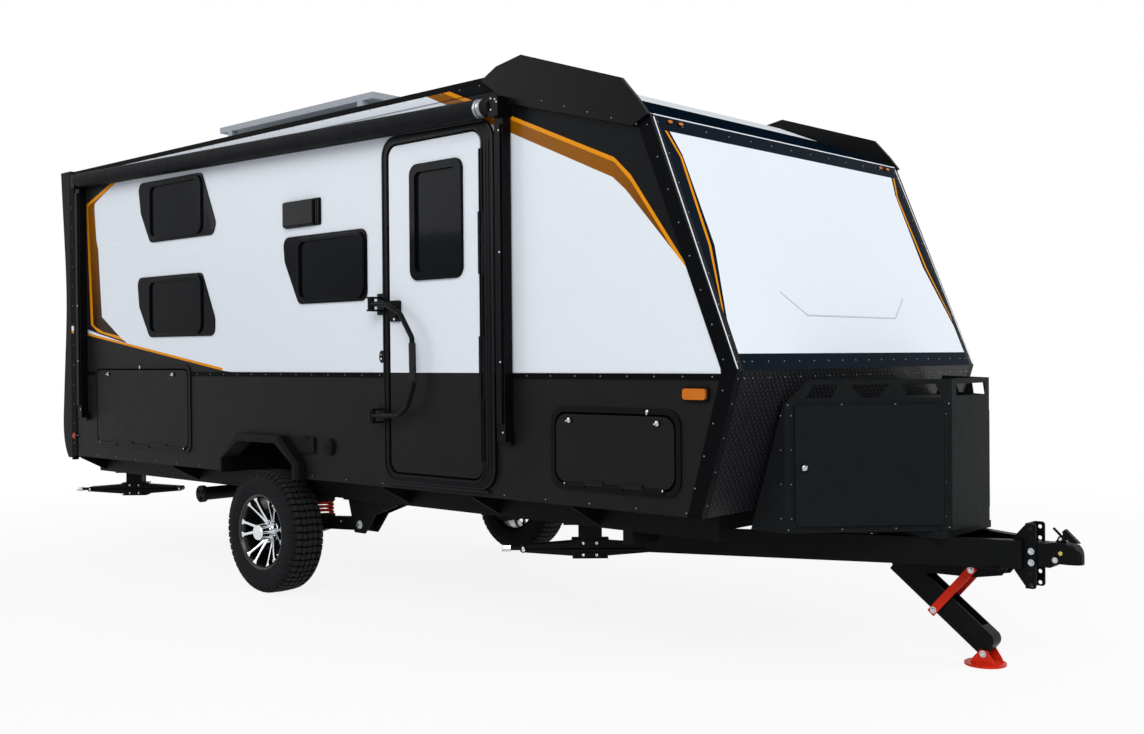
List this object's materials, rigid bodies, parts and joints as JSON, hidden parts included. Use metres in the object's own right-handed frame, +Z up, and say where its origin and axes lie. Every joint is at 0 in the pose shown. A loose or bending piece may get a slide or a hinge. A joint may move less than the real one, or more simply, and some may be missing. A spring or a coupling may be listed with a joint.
{
  "type": "travel trailer",
  "caption": "Single-axle off-road travel trailer with a hollow cabin, entry door, cargo doors, awning, tongue storage box, drop leg and ball coupler.",
  "frame": {"origin": "on the ground, under the middle of the whole trailer", "axes": "+X forward to the coupler, +Y to the road side, +Z up; the entry door is on the -Y side"},
  "size_m": [7.312, 2.5199, 3.01],
  "materials": {
    "white_panel": "gloss white laminated wall",
    "black_skin": "satin black wall skin",
    "black_coat": "satin black powder coat",
    "plate_black": "black coated tread plate",
    "clad_wall": "laminated wall faced with black tread plate",
    "floor_board": "sealed floor board with a dark underside",
    "fairing_black": "black coated sheet",
    "roof_sheet": "pale roof membrane",
    "trim_black": "black anodised extrusion",
    "dark_glass": "tinted acrylic",
    "awning_cloth": "rolled coated cloth",
    "frame_steel": "black chassis paint",
    "red_coat": "red powder coat",
    "bright_steel": "zinc plated steel",
    "tyre_rubber": "black tyre rubber",
    "alloy": "machined alloy with black pockets",
    "amber_lens": "amber lamp lens",
    "red_lens": "red lamp lens",
    "black_plastic": "black moulded plastic",
    "solar_glass": "solar cells under glass",
    "cast_black": "black cast iron"
  },
  "bodies": {
    "trailer": {"wall_near": "white_panel", "wall_far": "white_panel", "wall_rear": "white_panel", "rear_cap": "black_skin", "roof": "roof_sheet", "wall_front_upper": "white_panel", "wall_front_lower": "clad_wall", "floor": "floor_board", "wheel_wells": "frame_steel", "wheel_flares": "black_plastic", "edge_trims": "trim_black", "roof_fairings": "fairing_black", "solar_panel": "solar_glass", "vent_hood": "black_plastic", "service_inlets": "black_plastic", "window_frames": "trim_black", "window_panes": "dark_glass", "door_frame": "trim_black", "handle_brackets": "black_coat", "cargo_frames": "trim_black", "awning_roll": "awning_cloth", "awning_arms": "trim_black", "chassis_frame": "frame_steel", "tongue_frame": "frame_steel", "hitch_channel": "frame_steel", "coupler": "frame_steel", "coupler_lever": "bright_steel", "jack_bracket": "frame_steel", "jack_leg": "black_coat", "jack_struts": "red_coat", "jack_foot": "red_coat", "scissor_jacks": "frame_steel", "waste_outlet": "black_plastic", "pivot_hangers": "frame_steel", "trailing_arms": "frame_steel", "coil_springs": "red_coat", "brake_drums": "cast_black", "storage_box": "plate_black", "storage_rail": "black_coat", "marker_lamps": "amber_lens", "tail_lamps": "red_lens"},
    "wheel_near": {"tyre_near": "tyre_rubber", "rim_near": "alloy"},
    "wheel_far": {"tyre_far": "tyre_rubber", "rim_far": "alloy"},
    "entry_door": {"door_leaf": "white_panel", "door_window": "dark_glass", "door_latch": "black_plastic"},
    "handle": {"grab_handle": "black_coat"},
    "rear_hatch_near": {"cargo_door_rear_near": "black_skin"},
    "rear_hatch_far": {"cargo_door_rear_far": "black_skin"},
    "front_hatch_near": {"cargo_door_front_near": "black_skin"},
    "front_hatch_far": {"cargo_door_front_far": "black_skin"},
    "box_door_near": {"storage_door_near": "black_coat"},
    "box_door_far": {"storage_door_far": "black_coat"}
  },
  "joints": [
    {"name": "wheel_near_spin", "type": "hinge", "parent": "trailer", "child": "wheel_near", "pos_m": [-0.925, -1.097, 0.381], "axis": [0, 1, 0], "continuous": true},
    {"name": "wheel_far_spin", "type": "hinge", "parent": "trailer", "child": "wheel_far", "pos_m": [-0.925, 1.097, 0.381], "axis": [0, 1, 0], "continuous": true},
    {"name": "entry_door_hinge", "type": "hinge", "parent": "trailer", "child": "entry_door", "pos_m": [1.0505, -1.182, 1.72], "axis": [0, 0, 1], "range_deg": [0, 110]},
    {"name": "handle_fold", "type": "hinge", "parent": "trailer", "child": "handle", "pos_m": [0.226, -1.234, 1.442], "axis": [0, 0, -1], "range_deg": [0, 170]},
    {"name": "rear_hatch_near_hinge", "type": "hinge", "parent": "trailer", "child": "rear_hatch_near", "pos_m": [-2.448, -1.174, 0.857], "axis": [1, 0, 0], "range_deg": [0, 170]},
    {"name": "rear_hatch_far_hinge", "type": "hinge", "parent": "trailer", "child": "rear_hatch_far", "pos_m": [-2.448, 1.174, 0.857], "axis": [-1, 0, 0], "range_deg": [0, 170]},
    {"name": "front_hatch_near_hinge", "type": "hinge", "parent": "trailer", "child": "front_hatch_near", "pos_m": [1.9205, -1.174, 0.843], "axis": [1, 0, 0], "range_deg": [0, 170]},
    {"name": "front_hatch_far_hinge", "type": "hinge", "parent": "trailer", "child": "front_hatch_far", "pos_m": [1.9205, 1.174, 0.843], "axis": [-1, 0, 0], "range_deg": [0, 170]},
    {"name": "box_door_near_hinge", "type": "hinge", "parent": "trailer", "child": "box_door_near", "pos_m": [3.11565, -0.2328, 0.94], "axis": [0, 0, 1], "range_deg": [0, 95]},
    {"name": "box_door_far_hinge", "type": "hinge", "parent": "trailer", "child": "box_door_far", "pos_m": [3.11565, 0.2328, 0.94], "axis": [0, 0, -1], "range_deg": [0, 95]}
  ]
}
